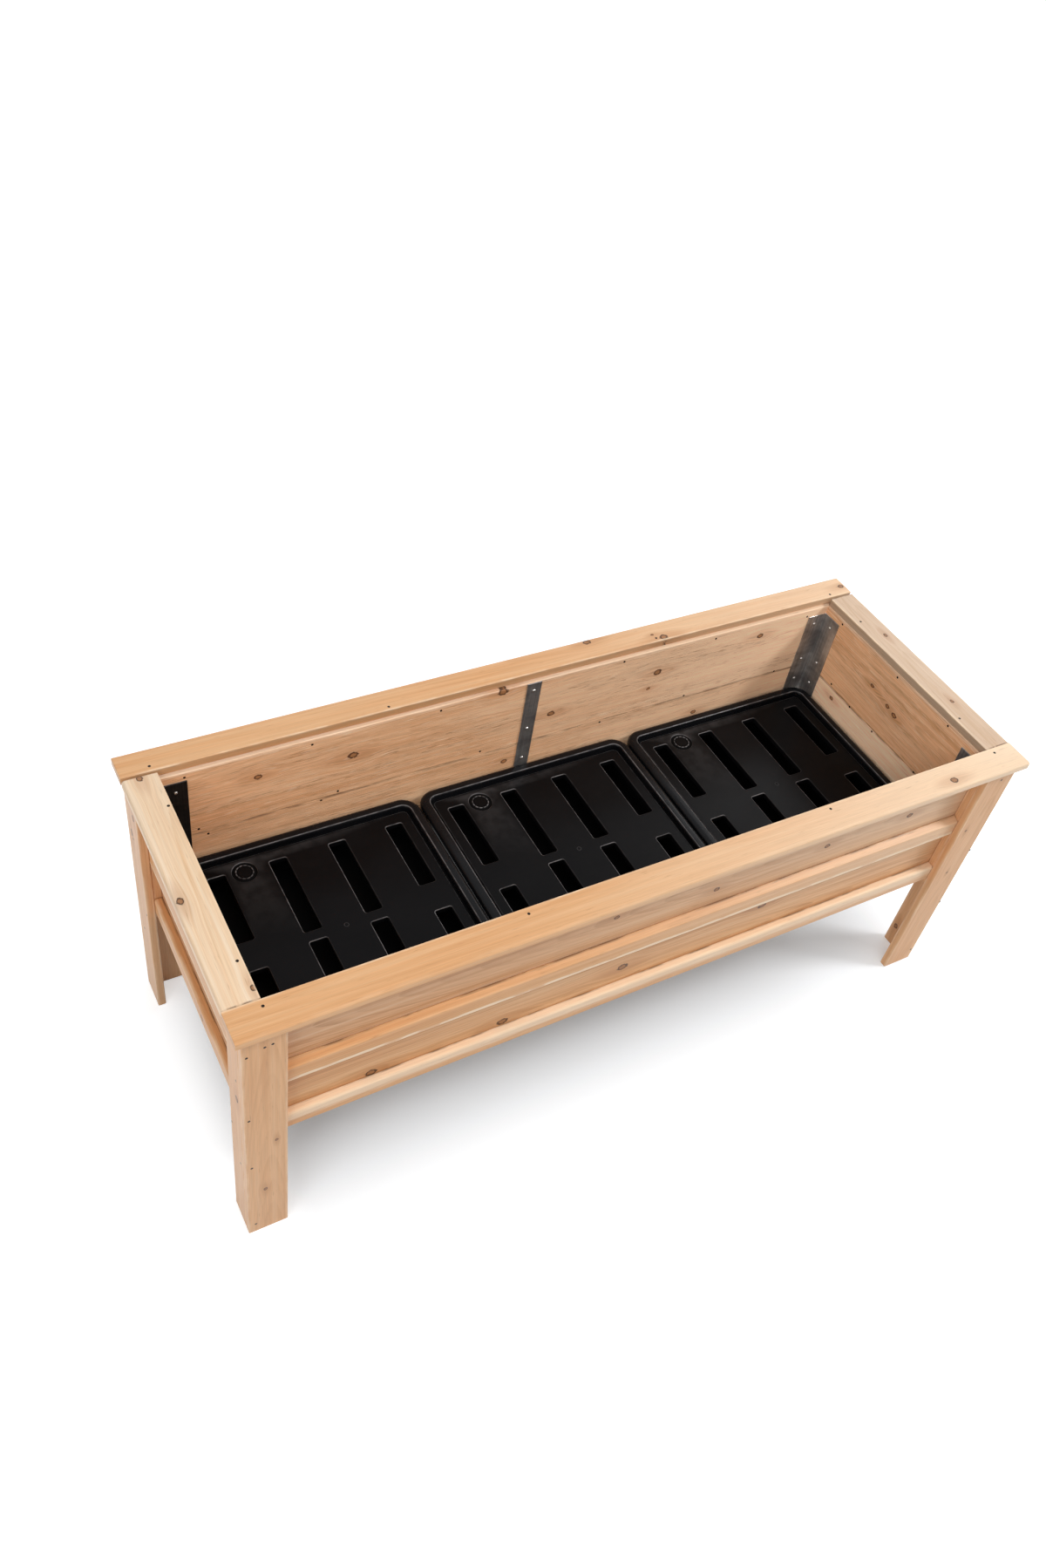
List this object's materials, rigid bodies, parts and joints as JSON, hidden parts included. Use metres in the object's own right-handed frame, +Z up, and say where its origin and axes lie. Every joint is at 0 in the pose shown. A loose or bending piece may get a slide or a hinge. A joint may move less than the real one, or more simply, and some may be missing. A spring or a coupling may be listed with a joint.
{
  "type": "elevated planter",
  "caption": "Long cedar planter box on L-shaped corner legs, with flat caps, railed sides, steel corner angles and lift-out slotted watering trays.",
  "frame": {"origin": "on the floor, under the middle of the box", "axes": "+X along the box to its right end, +Y towards its back, +Z up"},
  "size_m": [1.905, 0.739, 0.762],
  "materials": {
    "cap_wood": "planed cedar, bare",
    "frame_wood": "planed cedar, bare",
    "wall_wood": "rough-sawn cedar, bare",
    "floor_wood": "rough-sawn cedar, bare",
    "steel": "dull mill finish",
    "black_plastic": "satin moulded"
  },
  "bodies": {
    "box": {"cap_front": "cap_wood", "cap_back": "cap_wood", "cap_left": "cap_wood", "cap_right": "cap_wood", "leg_front_left_face": "frame_wood", "leg_front_left_side": "frame_wood", "leg_front_right_face": "frame_wood", "leg_front_right_side": "frame_wood", "leg_back_left_face": "frame_wood", "leg_back_left_side": "frame_wood", "leg_back_right_face": "frame_wood", "leg_back_right_side": "frame_wood", "stile_front_left": "frame_wood", "stile_front_right": "frame_wood", "stile_right_front": "frame_wood", "stile_right_back": "frame_wood", "stile_back_left": "frame_wood", "stile_back_right": "frame_wood", "stile_left_front": "frame_wood", "stile_left_back": "frame_wood", "rail_front_mid": "frame_wood", "rail_front_bottom": "frame_wood", "rail_right_mid": "frame_wood", "rail_right_bottom": "frame_wood", "rail_back_mid": "frame_wood", "rail_back_bottom": "frame_wood", "rail_left_mid": "frame_wood", "rail_left_bottom": "frame_wood", "wall_front_upper": "wall_wood", "wall_front_lower": "wall_wood", "wall_right_upper": "wall_wood", "wall_right_lower": "wall_wood", "wall_back_upper": "wall_wood", "wall_back_lower": "wall_wood", "wall_left_upper": "wall_wood", "wall_left_lower": "wall_wood", "angle_front_left": "steel", "angle_front_right": "steel", "angle_back_right": "steel", "angle_back_left": "steel", "strap_front": "steel", "strap_back": "steel", "ledger_front": "floor_wood", "ledger_back": "floor_wood", "floor_slat_1": "floor_wood", "floor_slat_2": "floor_wood", "floor_slat_3": "floor_wood", "floor_slat_4": "floor_wood", "floor_slat_5": "floor_wood", "floor_slat_6": "floor_wood", "floor_slat_7": "floor_wood", "floor_slat_8": "floor_wood", "floor_slat_9": "floor_wood"},
    "tray_left": {"tray_left_pan": "black_plastic", "tray_left_deck": "black_plastic"},
    "tray_centre": {"tray_centre_pan": "black_plastic", "tray_centre_deck": "black_plastic"},
    "tray_right": {"tray_right_pan": "black_plastic", "tray_right_deck": "black_plastic"}
  },
  "joints": [
    {"name": "tray_left_lift", "type": "slide", "parent": "box", "child": "tray_left", "axis": [0, 0, 1], "range_m": [0, 0.38]},
    {"name": "tray_centre_lift", "type": "slide", "parent": "box", "child": "tray_centre", "axis": [0, 0, 1], "range_m": [0, 0.38]},
    {"name": "tray_right_lift", "type": "slide", "parent": "box", "child": "tray_right", "axis": [0, 0, 1], "range_m": [0, 0.38]}
  ]
}
